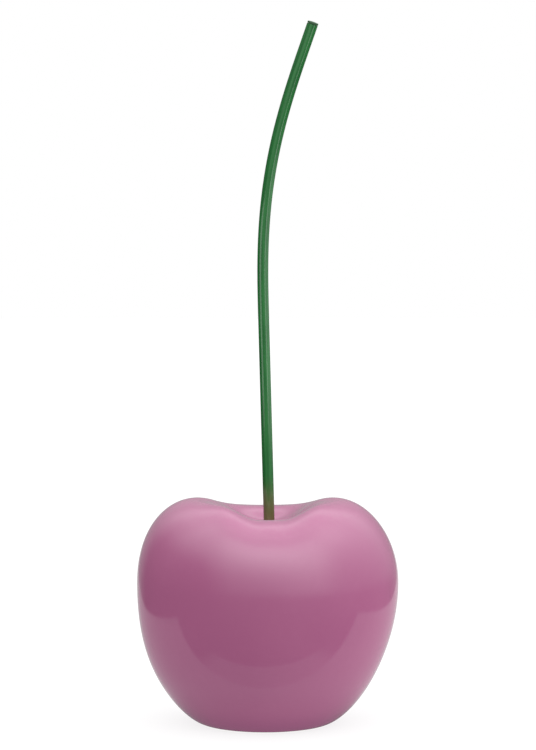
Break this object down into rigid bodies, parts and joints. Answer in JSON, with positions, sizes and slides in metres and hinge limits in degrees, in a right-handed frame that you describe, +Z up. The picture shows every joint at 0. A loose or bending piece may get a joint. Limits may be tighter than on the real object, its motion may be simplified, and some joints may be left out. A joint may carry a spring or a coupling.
{
  "type": "ornamental cherry sculpture",
  "caption": "Large heart-shaped cherry ornament: a hollow glazed body with a stem dimple and a flat foot, and a long bent tube as its stem.",
  "frame": {"origin": "on the surface it stands on, under the middle of the body", "axes": "+Z up along the stem's lower end, -Y towards the front, +X to the side that the stem's tip bends to"},
  "size_m": [0.284, 0.262, 0.7638],
  "materials": {
    "pink_glaze": "smooth high gloss",
    "green_paint": "gloss enamel",
    "cap_plastic": "satin moulded",
    "sleeve_rubber": "matt",
    "pad_felt": "pressed felt"
  },
  "bodies": {
    "root": {"cherry_body": "pink_glaze", "stem": "green_paint", "stem_cap": "cap_plastic", "stem_sleeve": "sleeve_rubber", "foot_pad_1": "pad_felt", "foot_pad_2": "pad_felt", "foot_pad_3": "pad_felt"}
  },
  "joints": []
}
